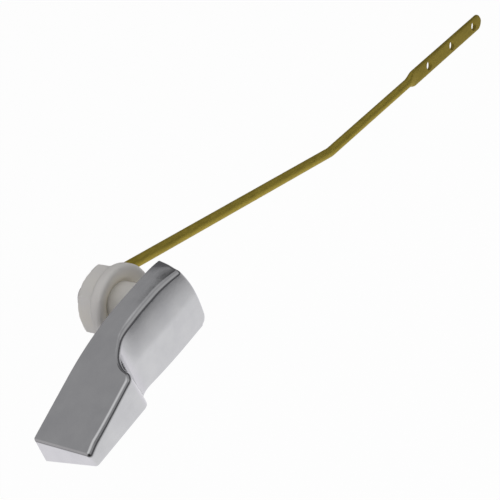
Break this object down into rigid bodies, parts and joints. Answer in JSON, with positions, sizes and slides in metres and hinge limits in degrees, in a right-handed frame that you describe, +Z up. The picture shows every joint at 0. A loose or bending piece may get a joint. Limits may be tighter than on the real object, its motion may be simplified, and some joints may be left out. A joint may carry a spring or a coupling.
{
  "type": "cistern lever",
  "caption": "Front-mounted cistern lever: plated wedge paddle on a spindle through a threaded plastic bushing and flanged nut, turning a bent brass arm with chain holes.",
  "frame": {"origin": "on the spindle axis, in the outer face of the tank wall", "axes": "+X along the wall towards the arm, +Y into the tank, +Z up"},
  "size_m": [0.2926, 0.047, 0.0667],
  "materials": {
    "plated_zinc": "polished plating",
    "white_plastic": "moulded",
    "brass": "drawn rod, tarnished a little",
    "steel": "zinc plated"
  },
  "bodies": {
    "fixed_bushing": {"bushing": "white_plastic"},
    "lever": {"handle": "plated_zinc", "lift_arm": "brass", "set_screw": "steel"},
    "nut": {"clamp_nut": "white_plastic"}
  },
  "joints": [
    {"name": "lever_turn", "type": "hinge", "parent": "fixed_bushing", "child": "lever", "pos_m": [0, 0, 0], "axis": [0, -1, 0], "range_deg": [0, 38]},
    {"name": "nut_travel", "type": "slide", "parent": "fixed_bushing", "child": "nut", "axis": [0, 1, 0], "range_m": [-0.0038, 0.0003]}
  ]
}
